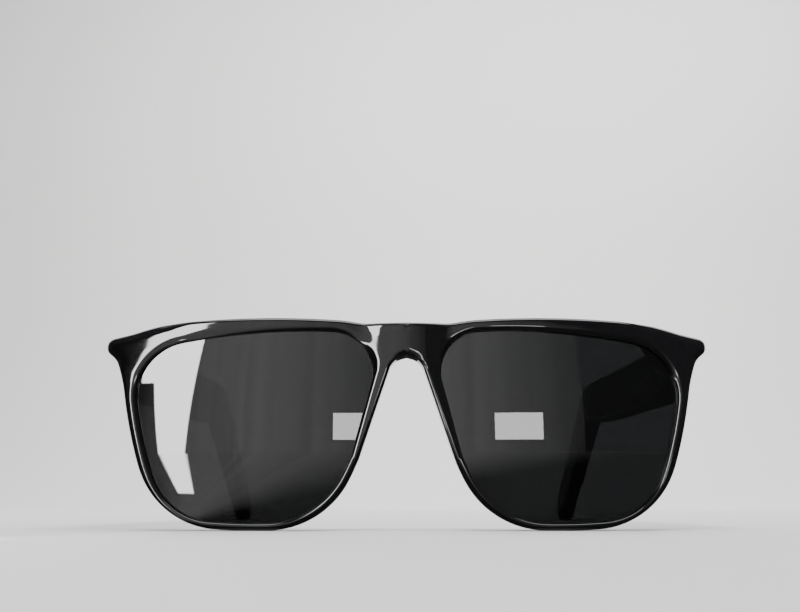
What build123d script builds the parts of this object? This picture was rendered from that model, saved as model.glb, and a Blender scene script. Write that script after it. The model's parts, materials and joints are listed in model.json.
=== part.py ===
import os
from math import cos, radians, sin
from build123d import *

os.makedirs("parts", exist_ok=True)

# Audio smart glasses, standing open. Millimetres, +Z up, the front faces -Y.
# The wearer's left is +X. The left temple is built, and the right one mirrors it.

# Overall sizes
overall_width = 148.8
overall_depth = 154.0

# Lens openings, seen from the front
lens_side = 9.05
lens_height = 45.7
lens_gap = 16.5
lens_width = (overall_width - lens_gap) / 2 - lens_side

# Rim round each opening: how far its corners stand outside the opening's corners
rim_top_nasal = (4.2, 2.3)
rim_top_temple = (3.7, 5.9)
rim_low_temple = (2.0, 1.5)
rim_low_nasal = (0.9, 1.7)
rim_bulges = (1.9, 2.2, 0.9, 4.0)
rim_round_shares = (0.308, 0.203, 0.771, 0.75)
rim_depth = 4.6
rim_edge_round = 0.8
eye_edge_round = 0.4

# Lenses: each front face is part of a sphere about its own axis
face_radius = 190.0
face_axis_inset = 7.8
lens_recess = 1.3
lens_thickness = 2.0
lens_bite = 0.7
lens_play = 0.05

# Bridge and nose pads
bridge_height = 8.1
bridge_drop = 1.4
bridge_front_radius = 27.0
bridge_depth = 5.0
arch_round = 2.6
bridge_inset = 0.1
bridge_setback = 0.5
bridge_root = 4.5
pad_foot_x = 2.4
pad_foot_rise = 1.5
pad_length = 15.0
pad_reach = 4.4
pad_thickness = 2.4
pad_lean = 19.0
pad_round_share = 0.35

# Endpieces
endpiece_height = 6.4
endpiece_drop = 4.1
endpiece_setback = 12.5
endpiece_root = 5.95
endpiece_slope = 2.6
endpiece_round = 1.0
endpiece_lip = 1.2
flare_width = 6.2
flare_drop = 6.8
flare_radius = 7.5
butt_gap = 0.3

# Hinges
hinge_height = endpiece_height - 1.4
hinge_drop = endpiece_height / 2 - 0.2
knuckle_count = 5
knuckle_gap = 0.1
knuckle_radius = 1.5
knuckle_clear = 0.35
pin_radius = 0.7
pin_play = 0.05
pin_head_radius = 1.2
pin_head_height = 0.5
axis_behind_butt = 0.9
leaf_thickness = 0.8
front_leaf_width = 2.6
temple_leaf_length = 6.6
leaf_screw_radius = 0.5
leaf_screw_head_radius = 0.85
leaf_screw_head_height = 0.35
leaf_screw_length = 2.6
leaf_screw_pitch = hinge_height - 2.2
leaf_play = 0.05
screw_play = 0.02

# Temples, measured back from the hinge axis
temple_thickness = 7.6
tip_thickness = 4.8
belly_height = 13.8
belly_start = 16.0
bend_share = 0.647
bend_start = bend_share * (overall_depth - endpiece_setback - axis_behind_butt)
neck_height = 10.4
belly_rise_slope = 2.88
belly_rise = belly_rise_slope * (belly_height - neck_height)
belly_run = bend_start - belly_start - neck_height / 2 - belly_rise
tip_radius = 4.6
bend_round = 26.0
tip_round_share = 0.97
belly_rounds = (20.0, 16.0, 8.0)
root_overlap = 2.0
temple_edge_round = 1.5
temple_inner_round = 0.5
toe_in = 2.5
ear_joint = 7.0
spigot_length = 8.0
spigot_width = 5.0
spigot_thickness = 2.4
spigot_play = 0.05
core_wire_radius = 0.7

# Temple electronics bay
wall_thickness = 1.2
cover_thickness = 1.0
cover_edge = 1.0
cover_play = 0.1
cover_front = 10.2
cover_rear = bend_start - 3.8
bay_edge = 2.0
bay_front = 14.0
bay_rear = bend_start - 7.2
corner_round = 0.8
cover_screw_radius = 0.6
cover_screw_head_radius = 1.0
cover_screw_head_height = 0.4
cover_screw_length = 3.0

# What the bay holds
temple_screw_stations = (3.6, 6.8)
board_share = 0.434
board_front = 18.4
board_rear = bay_front + board_share * (bay_rear - bay_front)
board_round = 0.8
board_thickness = 0.8
board_standoff = 2.2
board_margin = 0.4
board_top_room = 2.4
can_size = (1.2, 12.0, 5.4)
can_centre = board_rear - 7.8
can_drop = 0.8
contact_radius = 0.8
contact_flange_radius = 1.15
contact_flange = 0.4
contact_pitch = 4.0
contact_centre = 22.0
magnet_radius = 1.6
magnet_thickness = 1.2
magnet_pitch = 12.6
contact_sink = 0.1
light_pipe_radius = 0.6
light_pipe_rise = 2.6
light_pipe_centre = 22.0
touch_sensor_size = (0.15, 24.0, 7.6)
touch_sensor_centre = 31.0
touch_sensor_depth = temple_thickness - 2.6
microphone_size = (2.0, 3.0, 0.9)
microphone_centre = 24.0
microphone_depth = 1.1
microphone_port_radius = 0.4
microphone_seal = 0.3
button_centre = 37.0
button_middle = 0.45 * temple_thickness
button_length = 9.0
button_width = 2.6
button_proud = 0.45
button_travel = 0.4
button_play = 0.12
button_edge_round = 0.25
button_flange = 0.5
button_flange_lip = 0.5
switch_size = (2.6, 3.4, 1.2)
switch_gap = 0.06
battery_front = board_rear + 2.2
battery_play = 0.3
battery_round_share = 0.31
battery_pad = 0.5
battery_pad_edge = 1.0
cable_thickness = 0.12
cable_width = 1.6
cable_rise = 2.2
cable_overlap = 0.4
cable_play = 0.08
antenna_size = (0.15, 17.0, 5.0)
antenna_depth = temple_thickness - 2.8
speaker_size = (2.5, 12.0, 7.0)
speaker_centre = bay_rear - 10.2
speaker_rise = 0.5
speaker_round = 1.2
speaker_rim = 1.2
speaker_dish = 0.5
battery_length = speaker_centre - speaker_size[1] / 2 - 2.4 - battery_front
battery_size = (temple_thickness - 4.7, battery_length, 8.6)
gasket_thickness = 0.35
gasket_wall = 1.0
grille_length = 9.4
grille_width = 3.6
grille_thickness = 0.4
grille_lip = 0.6
grille_hole_radius = 0.3
grille_hole_pitch = 1.0
grille_row_pitch = 0.9
fit = 0.02

# Outlines seen from the front, about the middle of the left lens opening


def four_arcs(corners, bulges, rounds):
    # Shallow arcs between four corners, which are then rounded.
    with BuildSketch() as outline:
        with BuildLine():
            for corner, following, bulge in zip(corners, corners[1:] + corners[:1], bulges):
                SagittaArc(corner, following, bulge)
        make_face()
        for corner, radius in zip(corners, rounds):
            fillet(outline.vertices().sort_by_distance(Vector(*corner))[0], radius)
    return outline.sketch


half_width = lens_width / 2
half_height = lens_height / 2
eye_shares = ((-1.0088, 0.9737), (1.0508, 0.7724), (0.683, -0.9344), (-0.5324, -0.9737))
eye_corners = [(share[0] * half_width, share[1] * half_height) for share in eye_shares]
rim_steps = [rim_top_nasal, rim_top_temple, rim_low_temple, rim_low_nasal]
outward = [(-1, 1), (1, 1), (1, -1), (-1, -1)]
rim_corners = [
    (corner[0] + way[0] * step[0], corner[1] + way[1] * step[1])
    for corner, way, step in zip(eye_corners, outward, rim_steps)
]
eye_bulges = (2.3, 1.9, 1.0, 4.1)
eye_round_shares = (0.3573, 0.4448, 0.5744, 0.6935)


def grown_eye(amount):
    corners = [
        (corner[0] + way[0] * amount, corner[1] + way[1] * amount)
        for corner, way in zip(eye_corners, outward)
    ]
    return four_arcs(corners, eye_bulges, [share * half_width + amount for share in eye_round_shares])


eye = grown_eye(0)
rim = four_arcs(rim_corners, rim_bulges, [share * half_width for share in rim_round_shares])

# Places that follow from the sizes
front_y = -overall_depth / 2 - bridge_setback
lens_x = (lens_gap + lens_width) / 2
lens_z = -rim.bounding_box().min.Y
brow_z = lens_z + rim.bounding_box().max.Y
bridge_top_z = brow_z - bridge_drop
arch_z = bridge_top_z - bridge_height
nose_gap_half = lens_x + rim.bounding_box().min.X + bridge_inset
face_centre = (lens_x - face_axis_inset, front_y + face_radius, lens_z)
endpiece_top_z = brow_z - endpiece_drop
endpiece_bottom_z = endpiece_top_z - endpiece_height
butt_y = front_y + endpiece_setback
outer_x = overall_width / 2
endpiece_inner_x = lens_x + half_width - endpiece_root
inner_x = outer_x - temple_thickness
axis_x = inner_x - knuckle_radius - knuckle_clear
axis_y = butt_y + axis_behind_butt
hinge_z = endpiece_top_z - hinge_drop
hinge_axis = Axis((axis_x, axis_y, 0), (0, 0, 1))
belly_z = endpiece_top_z - belly_height
tip_x = inner_x + tip_thickness
tip_reach = overall_depth / 2 - axis_y - (tip_x - axis_x) * sin(radians(toe_in))
tip_end_y = axis_y + tip_reach / cos(radians(toe_in))
bend_y = axis_y + bend_start
high_z = brow_z + 10
pieces = []


def keep(piece, label):
    piece.part.label = label
    pieces.append(piece.part)


def keep_pair(piece, label):
    keep(piece, label + "_left")
    with BuildPart() as other:
        mirror(piece.part, about=Plane.YZ)
    keep(other, label + "_right")


# Front frame

def through_front(sketch, back):
    # A flat outline made solid from the front apex to a plane behind it.
    with BuildPart() as body:
        with BuildSketch(Plane.XZ.offset(-back)):
            with Locations((lens_x, lens_z)):
                add(sketch)
        extrude(amount=back - front_y)
    return body.part


def face_shell(sketch, front_depth, back_depth):
    # The part of an outline between two spheres about the face's centre.
    with BuildPart() as body:
        add(through_front(sketch, butt_y))
        with Locations(face_centre):
            Sphere(face_radius - front_depth, mode=Mode.INTERSECT)
            Sphere(face_radius - back_depth, mode=Mode.SUBTRACT)
    return body.part


with BuildPart() as rim_plate:
    add(face_shell(rim, 0, rim_depth))
    fillet(rim_plate.faces().filter_by(GeomType.SPHERE).sort_by(Axis.Y)[0].edges(), rim_edge_round)

with BuildPart() as bridge:
    # A curved bar between the rims, with a rounded arch for the nose under it.
    bridge_low_z = arch_z - 2 * arch_round
    with BuildSketch(Plane.XY.offset(bridge_low_z)):
        with Locations((0, front_y + bridge_setback + bridge_front_radius)):
            Circle(bridge_front_radius)
            Circle(bridge_front_radius - bridge_depth, mode=Mode.SUBTRACT)
        with Locations((0, front_y)):
            bridge_span = lens_gap + 2 * bridge_root
            Rectangle(
                bridge_span, bridge_front_radius, align=(Align.CENTER, Align.MIN), mode=Mode.INTERSECT
            )
    extrude(amount=bridge_top_z - bridge_low_z)
    with BuildSketch(Plane.XZ.offset(-butt_y)) as arch:
        with Locations((0, arch_z)):
            Rectangle(2 * nose_gap_half, 4 * arch_round, align=(Align.CENTER, Align.MAX))
        fillet(arch.vertices().group_by(Axis.Y)[-1], arch_round)
    extrude(amount=endpiece_setback, mode=Mode.SUBTRACT)
    add(through_front(eye, butt_y), mode=Mode.SUBTRACT)
    mirror(through_front(eye, butt_y), about=Plane.YZ, mode=Mode.SUBTRACT)

with BuildPart() as endpiece:
    # A block whose lower edge flares down in a hollow curve to the rim.
    flare_low_z = endpiece_bottom_z - flare_drop
    with BuildSketch(Plane.XZ.offset(-butt_y)):
        with BuildLine():
            flare = RadiusArc(
                (outer_x - endpiece_lip, endpiece_bottom_z),
                (outer_x - flare_width, flare_low_z),
                flare_radius,
            )
            Polyline(
                flare @ 1,
                (endpiece_inner_x, flare_low_z),
                (endpiece_inner_x, endpiece_top_z + endpiece_slope),
                (outer_x, endpiece_top_z),
                (outer_x, endpiece_bottom_z),
                flare @ 0,
            )
        make_face()
    extrude(amount=endpiece_setback)
    with Locations(face_centre):
        Sphere(face_radius, mode=Mode.INTERSECT)
    outer_edges = endpiece.edges().filter_by(Axis.Y).group_by(Axis.X)[-1]
    fillet(outer_edges, endpiece_round)

with BuildPart() as nose_pad:
    # A rounded tab behind the nasal side of the rim, in line with it.
    pad_foot = (lens_gap / 2 + pad_foot_x, front_y + rim_depth, lens_z + pad_foot_rise)
    lean = radians(pad_lean)
    pad_plane = Plane(pad_foot, x_dir=(sin(lean), 0, -cos(lean)), z_dir=(0, 1, 0))
    with BuildSketch(pad_plane):
        SlotOverall(pad_length, pad_thickness)
    extrude(amount=pad_reach)
    fillet(nose_pad.faces().sort_by(Axis.Y)[-1].edges(), pad_thickness * pad_round_share)

with BuildPart() as half_front:
    add(rim_plate.part)
    add(endpiece.part)
    add(through_front(eye, butt_y), mode=Mode.SUBTRACT)
    front_face = half_front.faces().filter_by(GeomType.SPHERE).sort_by(Axis.Y)[0]
    fillet(front_face.inner_wires()[0].edges(), eye_edge_round)
    add(nose_pad.part)

lens_back = lens_recess + lens_thickness
lens_seat = face_shell(grown_eye(lens_bite + lens_play), lens_recess - lens_play, lens_back + lens_play)
front_leaf_x = axis_x - knuckle_radius - knuckle_clear - front_leaf_width / 2
front_screw_spots = [(front_leaf_x, hinge_z + side * leaf_screw_pitch / 2) for side in (-1, 1)]

with BuildPart() as front_cuts:
    # Lens groove, the space round the knuckles, the leaf's recess and its screw holes.
    add(lens_seat)
    with BuildSketch(Plane.XY.offset(hinge_z - hinge_height / 2 - knuckle_clear)):
        with Locations((axis_x, axis_y)):
            Circle(knuckle_radius + knuckle_clear)
    extrude(amount=hinge_height + 2 * knuckle_clear + pin_head_height)
    with BuildSketch(Plane.XZ.offset(-butt_y)):
        with Locations((axis_x, hinge_z)):
            leaf_span = knuckle_radius + knuckle_clear + front_leaf_width + leaf_play
            Rectangle(leaf_span, hinge_height + 2 * leaf_play, align=(Align.MAX, Align.CENTER))
    extrude(amount=leaf_thickness + fit)
    with BuildSketch(Plane.XZ.offset(-butt_y)):
        with Locations(front_screw_spots):
            Circle(leaf_screw_radius + screw_play)
    extrude(amount=leaf_thickness + leaf_screw_length)

with BuildPart() as front_frame:
    add(half_front.part)
    mirror(half_front.part, about=Plane.YZ)
    add(bridge.part)
    add(front_cuts.part, mode=Mode.SUBTRACT)
    mirror(front_cuts.part, about=Plane.YZ, mode=Mode.SUBTRACT)
keep(front_frame, "front_frame")

with BuildPart() as lens_left:
    add(face_shell(grown_eye(lens_bite), lens_recess, lens_back))
keep_pair(lens_left, "lens")


# Hinges

def knuckle_levels(first):
    # Every other knuckle up the hinge, starting from the bottom one or the next.
    pitch = (hinge_height + knuckle_gap) / knuckle_count
    low = hinge_z - hinge_height / 2
    return [low + pitch * index for index in range(first, knuckle_count, 2)], pitch - knuckle_gap


with BuildPart() as front_leaf:
    levels, knuckle_height = knuckle_levels(0)
    with BuildSketch(Plane.XZ.offset(-butt_y)):
        with Locations((front_leaf_x, hinge_z)):
            Rectangle(front_leaf_width, hinge_height)
    extrude(amount=leaf_thickness)
    for level in levels:
        with BuildSketch(Plane.XY.offset(level)):
            with Locations((axis_x, axis_y)):
                Circle(knuckle_radius)
            with Locations((axis_x, butt_y)):
                arm = knuckle_radius + knuckle_clear
                Rectangle(arm, leaf_thickness, align=(Align.MAX, Align.MAX))
            with Locations((axis_x, butt_y)):
                Rectangle(knuckle_radius, axis_behind_butt, align=(Align.MAX, Align.MIN))
        extrude(amount=knuckle_height)
    with Locations((axis_x, axis_y, hinge_z)):
        Cylinder(pin_radius + fit, 2 * hinge_height, mode=Mode.SUBTRACT)
    with BuildSketch(Plane.XZ.offset(-butt_y)):
        with Locations(front_screw_spots):
            Circle(leaf_screw_radius + leaf_play)
    extrude(amount=leaf_thickness, mode=Mode.SUBTRACT)
    with BuildSketch(Plane.XZ.offset(-butt_y)):
        with Locations(front_screw_spots):
            Circle(leaf_screw_head_radius + leaf_play)
    extrude(amount=leaf_screw_head_height, mode=Mode.SUBTRACT)
keep_pair(front_leaf, "front_hinge_leaf")


def screws(plane, spots, radius, length, head_radius, head_height):
    # Countersunk-flat screws whose heads' tops lie in the plane, shanks going against its normal.
    with BuildPart() as group:
        with BuildSketch(plane):
            with Locations(spots):
                Circle(head_radius)
        extrude(amount=-head_height)
        with BuildSketch(plane):
            with Locations(spots):
                Circle(radius)
        extrude(amount=-length)
        with BuildSketch(plane):
            with Locations(spots):
                Rectangle(2 * head_radius, head_height / 2)
        extrude(amount=-head_height / 2, mode=Mode.SUBTRACT)
    return group


with BuildPart() as front_leaf_screws:
    add(
        screws(
            Plane(origin=(0, butt_y, 0), x_dir=(-1, 0, 0), z_dir=(0, 1, 0)),
            [(-x, z) for x, z in front_screw_spots],
            leaf_screw_radius,
            leaf_thickness + leaf_screw_length - fit,
            leaf_screw_head_radius,
            leaf_screw_head_height,
        ).part
    )
keep_pair(front_leaf_screws, "front_leaf_screws")

with BuildPart() as hinge_pin:
    with Locations((axis_x, axis_y, hinge_z - hinge_height / 2)):
        Cylinder(pin_radius, hinge_height, align=(Align.CENTER, Align.CENTER, Align.MIN))
    with Locations((axis_x, axis_y, hinge_z + hinge_height / 2)):
        Cylinder(pin_head_radius, pin_head_height, align=(Align.CENTER, Align.CENTER, Align.MIN))
        Box(
            2 * pin_head_radius,
            pin_head_height / 2,
            pin_head_height,
            align=(Align.CENTER, Align.CENTER, Align.MIN),
            mode=Mode.SUBTRACT,
        )
keep_pair(hinge_pin, "hinge_pin")


# Temple outline, seen from the side: y back along the temple, z up

ear_centre_z = endpiece_top_z - neck_height / 2
tip_centre = Vector(tip_end_y - tip_radius, tip_radius)
ear_start = Vector(bend_y, ear_centre_z)
ear_way = (tip_centre - ear_start).normalized()
ear_up = Vector(-ear_way.Y, ear_way.X)
root_y = butt_y - root_overlap
neck_low = (bend_y - neck_height / 2, endpiece_top_z - neck_height)
under_points = [
    neck_low,
    (axis_y + belly_start + belly_run, belly_z),
    (axis_y + belly_start, belly_z),
    (axis_y, endpiece_bottom_z),
    (root_y, endpiece_bottom_z),
]
under_rounds = [bend_round / 2, *belly_rounds, 0]


def side_sketch(points, rounds):
    with BuildSketch() as side:
        with BuildLine():
            FilletPolyline(*points, radius=rounds, close=True)
        make_face()
    return side.sketch


def temple_side():
    end = tip_centre + ear_way * tip_radius
    points = [
        (root_y, endpiece_top_z),
        (bend_y, endpiece_top_z),
        end + ear_up * tip_radius,
        end - ear_up * tip_radius,
        *under_points,
    ]
    tip_round = tip_radius * tip_round_share
    return side_sketch(points, [0, bend_round, tip_round, tip_round, *under_rounds])


def inner_area(inset, front, rear):
    # The straight part's outline drawn in by a margin, between two stations behind the hinge.
    far_y = bend_y + neck_height
    points = [(root_y, endpiece_top_z), (far_y, endpiece_top_z), (far_y, neck_low[1]), *under_points]
    with BuildSketch() as area:
        add(side_sketch(points, [0, 0, 0, *under_rounds]))
        offset(amount=-inset, mode=Mode.REPLACE)
        with Locations((axis_y + front, belly_z)):
            Rectangle(rear - front, 4 * belly_height, align=(Align.MIN, Align.CENTER), mode=Mode.INTERSECT)
        ends = area.vertices().group_by(Axis.X)
        fillet(ends[0] + ends[-1], corner_round)
    return area.sketch


def thickness_at(station):
    run = tip_end_y - axis_y
    return temple_thickness - (temple_thickness - tip_thickness) * station / run


def wedge(inner, wall):
    # Everything between the inner face and the outer wall, which leans in towards the tip.
    with BuildPart() as block:
        with BuildSketch():
            with BuildLine():
                far = tip_end_y - axis_y + 5
                Polyline(
                    (inner_x + inner, root_y),
                    (inner_x + thickness_at(root_y - axis_y) - wall, root_y),
                    (inner_x + thickness_at(far) - wall, axis_y + far),
                    (inner_x + inner, axis_y + far),
                    close=True,
                )
            make_face()
        extrude(amount=high_z)
    return block.part


def slab(sketch, inner, outer):
    # A side-view shape made solid between two depths from the temple's inner face.
    with BuildPart() as body:
        with BuildSketch(Plane.YZ.offset(inner_x + inner)):
            add(sketch)
        extrude(amount=outer - inner)
    return body.part


def block(size, station, level, inner):
    # A box by its size, its middle's station and level, and the depth of its inner side.
    with BuildPart() as body:
        with Locations((inner_x + inner, axis_y + station, level)):
            Box(*size, align=(Align.MIN, Align.CENTER, Align.CENTER))
    return body


def rod(radius, station, level, inner, outer):
    with BuildPart() as body:
        with BuildSketch(Plane.YZ.offset(inner_x + inner)):
            with Locations((axis_y + station, level)):
                Circle(radius)
        extrude(amount=outer - inner)
    return body.part


with BuildPart() as temple_blank:
    add(slab(temple_side(), 0, temple_thickness + 1))
    add(wedge(0, 0), mode=Mode.INTERSECT)
    fillet(temple_blank.faces().sort_by(Axis.X)[-1].outer_wire().edges(), temple_edge_round)
    fillet(temple_blank.faces().sort_by(Axis.X)[0].outer_wire().edges(), temple_inner_round)

ear_plane_point = ear_start + ear_way * ear_joint
ear_plane = Plane(
    origin=(inner_x, ear_plane_point.X, ear_plane_point.Y),
    x_dir=(1, 0, 0),
    z_dir=(0, ear_way.X, ear_way.Y),
)


def spigot(play):
    with BuildPart() as body:
        with BuildSketch(ear_plane):
            with Locations((tip_thickness / 2, 0)):
                Rectangle(spigot_thickness + 2 * play, spigot_width + 2 * play)
        extrude(amount=-spigot_length - play)
    return body.part


def core(play):
    with BuildPart() as body:
        with BuildSketch(ear_plane.offset(-spigot_length)):
            with Locations((tip_thickness / 2, 0)):
                Circle(core_wire_radius + play)
        extrude(amount=spigot_length + (tip_centre - ear_plane_point).length)
    return body.part


with BuildPart() as ear_tip:
    add(temple_blank.part)
    split(bisect_by=ear_plane, keep=Keep.TOP)
    add(spigot(0))
    add(core(fit), mode=Mode.SUBTRACT)

with BuildPart() as core_wire:
    add(core(0))

bay_top_z = endpiece_top_z - bay_edge
bay_low_z = belly_z + bay_edge
bay_mid_z = (bay_top_z + bay_low_z) / 2
leaf_screw_spots = [(axis_y + station, hinge_z) for station in temple_screw_stations]
cover_screw_spots = [
    (axis_y + (cover_front + bay_front) / 2, endpiece_top_z - neck_height / 2),
    (axis_y + (bay_rear + cover_rear) / 2, endpiece_top_z - neck_height / 2),
]


def circles(spots, radius, inner, outer):
    with BuildPart() as body:
        with BuildSketch(Plane.YZ.offset(inner_x + inner)):
            with Locations(spots):
                Circle(radius)
        extrude(amount=outer - inner)
    return body.part


with BuildPart() as bay:
    add(slab(inner_area(bay_edge, bay_front, bay_rear), 0, temple_thickness))
    add(wedge(0, wall_thickness), mode=Mode.INTERSECT)

with BuildPart() as temple_leaf:
    leaf_start = knuckle_radius + knuckle_clear
    levels, knuckle_height = knuckle_levels(1)
    with BuildSketch(Plane.YZ.offset(inner_x)):
        with Locations((axis_y + leaf_start, hinge_z)):
            Rectangle(temple_leaf_length, hinge_height, align=(Align.MIN, Align.CENTER))
    extrude(amount=leaf_thickness)
    for level in levels:
        with BuildSketch(Plane.XY.offset(level)):
            with Locations((axis_x, axis_y)):
                Circle(knuckle_radius)
                reach = inner_x + leaf_thickness - axis_x
                Rectangle(reach, leaf_start, align=(Align.MIN, Align.MIN))
        extrude(amount=knuckle_height)
    with Locations((axis_x, axis_y, hinge_z)):
        Cylinder(pin_radius + pin_play, 2 * hinge_height, mode=Mode.SUBTRACT)
    add(circles(leaf_screw_spots, leaf_screw_radius + leaf_play, 0, leaf_thickness), mode=Mode.SUBTRACT)
    add(
        circles(leaf_screw_spots, leaf_screw_head_radius + leaf_play, 0, leaf_screw_head_height),
        mode=Mode.SUBTRACT,
    )

button_y = axis_y + button_centre
button_x = inner_x + button_middle
cap_top_z = endpiece_top_z + button_proud
flange_top_z = bay_top_z - knuckle_gap
microphone_port_x = inner_x + microphone_depth + microphone_size[0] / 2
microphone_port = (microphone_port_x, axis_y + microphone_centre, bay_low_z)


def button_slot(grow):
    with BuildSketch() as slot:
        with Locations((button_x, button_y)):
            SlotOverall(button_length + 2 * grow, button_width + 2 * grow, rotation=90)
    return slot.sketch


with BuildPart() as temple_shell:
    add(temple_blank.part)
    split(bisect_by=ear_plane, keep=Keep.BOTTOM)
    add(spigot(spigot_play), mode=Mode.SUBTRACT)
    add(core(core_wire_radius), mode=Mode.SUBTRACT)
    add(bay.part, mode=Mode.SUBTRACT)
    add(
        slab(inner_area(cover_edge, cover_front, cover_rear), -1, cover_thickness + fit),
        mode=Mode.SUBTRACT,
    )
    leaf_recess_length = leaf_start + temple_leaf_length + leaf_play
    with BuildSketch(Plane.YZ.offset(inner_x)):
        with Locations((root_y, hinge_z)):
            recess_length = axis_y - root_y + leaf_recess_length
            Rectangle(recess_length, hinge_height + 2 * leaf_play, align=(Align.MIN, Align.CENTER))
    extrude(amount=leaf_thickness + fit, mode=Mode.SUBTRACT)
    add(
        circles(leaf_screw_spots, leaf_screw_radius + screw_play, 0, leaf_thickness + leaf_screw_length),
        mode=Mode.SUBTRACT,
    )
    add(
        circles(cover_screw_spots, cover_screw_radius + screw_play, 0, cover_screw_length + fit),
        mode=Mode.SUBTRACT,
    )
    with BuildSketch(Plane.XY.offset(bay_top_z - 1)):
        add(button_slot(button_play))
    extrude(amount=bay_edge + 2, mode=Mode.SUBTRACT)
    with Locations(microphone_port):
        Cylinder(microphone_port_radius, 3 * bay_edge, mode=Mode.SUBTRACT)

temple_screw_plane = Plane(origin=(inner_x, 0, 0), x_dir=(0, -1, 0), z_dir=(-1, 0, 0))
temple_leaf_screws = screws(
    temple_screw_plane,
    [(-y, z) for y, z in leaf_screw_spots],
    leaf_screw_radius,
    leaf_thickness + leaf_screw_length - fit,
    leaf_screw_head_radius,
    leaf_screw_head_height,
)
cover_screws = screws(
    temple_screw_plane,
    [(-y, z) for y, z in cover_screw_spots],
    cover_screw_radius,
    cover_screw_length,
    cover_screw_head_radius,
    cover_screw_head_height,
)

contact_level = bay_mid_z
contact_spots = [
    (axis_y + contact_centre + side * contact_pitch / 2, contact_level) for side in (-1, 1)
]
magnet_spots = [(axis_y + contact_centre + side * magnet_pitch / 2, contact_level) for side in (-1, 1)]
light_pipe_z = contact_level + light_pipe_rise
board_inner = cover_thickness + board_standoff
grille_z = bay_mid_z + speaker_rise

with BuildPart() as inner_cover:
    cover_area = inner_area(cover_edge + cover_play, cover_front + cover_play, cover_rear - cover_play)
    add(slab(cover_area, 0, cover_thickness))
    add(circles(contact_spots, contact_radius + leaf_play, 0, cover_thickness), mode=Mode.SUBTRACT)
    add(
        rod(light_pipe_radius + leaf_play, light_pipe_centre, light_pipe_z, 0, cover_thickness),
        mode=Mode.SUBTRACT,
    )
    add(circles(cover_screw_spots, cover_screw_radius + leaf_play, 0, cover_thickness), mode=Mode.SUBTRACT)
    add(
        circles(cover_screw_spots, cover_screw_head_radius + leaf_play, 0, cover_screw_head_height),
        mode=Mode.SUBTRACT,
    )
    with BuildSketch(Plane.YZ.offset(inner_x)):
        with Locations((axis_y + speaker_centre, grille_z)):
            SlotOverall(grille_length, grille_width)
    extrude(amount=grille_thickness, mode=Mode.SUBTRACT)
    with BuildSketch(Plane.YZ.offset(inner_x)):
        with Locations((axis_y + speaker_centre, grille_z)):
            SlotOverall(grille_length - 2 * grille_lip, grille_width - 2 * grille_lip)
    extrude(amount=cover_thickness, mode=Mode.SUBTRACT)

with BuildPart() as speaker_grille:
    with BuildSketch(Plane.YZ.offset(inner_x + fit)):
        with Locations((axis_y + speaker_centre, grille_z)):
            SlotOverall(grille_length - 2 * fit, grille_width - 2 * fit)
            with GridLocations(grille_hole_pitch, grille_row_pitch, 7, 2):
                Circle(grille_hole_radius, mode=Mode.SUBTRACT)
    extrude(amount=grille_thickness - 2 * fit)

speaker_inner = cover_thickness + gasket_thickness + 2 * fit
with BuildPart() as speaker_gasket:
    with BuildSketch(Plane.YZ.offset(inner_x + cover_thickness + fit)):
        with Locations((axis_y + speaker_centre, grille_z)):
            Rectangle(speaker_size[1], speaker_size[2])
            gasket_hole = [side - 2 * gasket_wall for side in speaker_size[1:]]
            Rectangle(*gasket_hole, mode=Mode.SUBTRACT)
    extrude(amount=gasket_thickness)

with BuildPart() as speaker:
    add(block(speaker_size, speaker_centre, grille_z, speaker_inner).part)
    fillet(speaker.edges().filter_by(Axis.X), speaker_round)
    dish = (speaker_dish, speaker_size[1] - 2 * speaker_rim, speaker_size[2] - 2 * speaker_rim)
    add(block(dish, speaker_centre, grille_z, speaker_inner).part, mode=Mode.SUBTRACT)

board_length = board_rear - board_front
board_low_z = bay_low_z + board_margin
board_high_z = bay_top_z - board_top_room
with BuildPart() as circuit_board:
    add(
        block(
            (board_thickness, board_length, board_high_z - board_low_z),
            (board_front + board_rear) / 2,
            (board_low_z + board_high_z) / 2,
            board_inner,
        ).part
    )
    fillet(circuit_board.edges().filter_by(Axis.X), board_round)

shield_can = block(can_size, can_centre, bay_mid_z - can_drop, board_inner - can_size[0] - fit)
magnet_inner = cover_thickness + fit
with BuildPart() as charging_magnets:
    add(circles(magnet_spots, magnet_radius, magnet_inner, magnet_inner + magnet_thickness))
with BuildPart() as charging_contacts:
    add(circles(contact_spots, contact_radius, contact_sink, board_inner - fit))
    flange_high = cover_thickness + contact_flange
    add(circles(contact_spots, contact_flange_radius, cover_thickness + fit, flange_high))
with BuildPart() as light_pipe:
    add(rod(light_pipe_radius, light_pipe_centre, light_pipe_z, contact_sink / 2, board_inner - fit))
touch_sensor = block(touch_sensor_size, touch_sensor_centre, bay_mid_z, touch_sensor_depth)
microphone_z = bay_low_z + microphone_seal + fit + microphone_size[2] / 2
microphone = block(microphone_size, microphone_centre, microphone_z, microphone_depth)
with BuildPart() as microphone_seal_ring:
    add(
        block(
            (microphone_size[0], microphone_size[1], microphone_seal),
            microphone_centre,
            bay_low_z + fit / 2 + microphone_seal / 2,
            microphone_depth,
        ).part
    )
    with Locations(microphone_port):
        Cylinder(microphone_port_radius, 2 * bay_edge, mode=Mode.SUBTRACT)
switch_top_z = flange_top_z - button_flange - button_travel - switch_gap
tactile_switch = block(
    switch_size, button_centre, switch_top_z - switch_size[2] / 2, button_middle - switch_size[0] / 2
)
battery_mid = battery_front + battery_size[1] / 2
with BuildPart() as battery:
    add(block(battery_size, battery_mid, bay_mid_z, cover_thickness + battery_play).part)
    fillet(battery.edges().filter_by(Axis.Y), battery_size[0] * battery_round_share)
battery_pad_piece = block(
    (battery_pad, battery_size[1] - 2 * battery_pad_edge, battery_size[2] - 2 * battery_pad_edge),
    battery_mid,
    bay_mid_z,
    cover_thickness + battery_play + battery_size[0] + fit,
)
cable_run = speaker_centre - speaker_size[1] / 2 - board_rear
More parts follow.
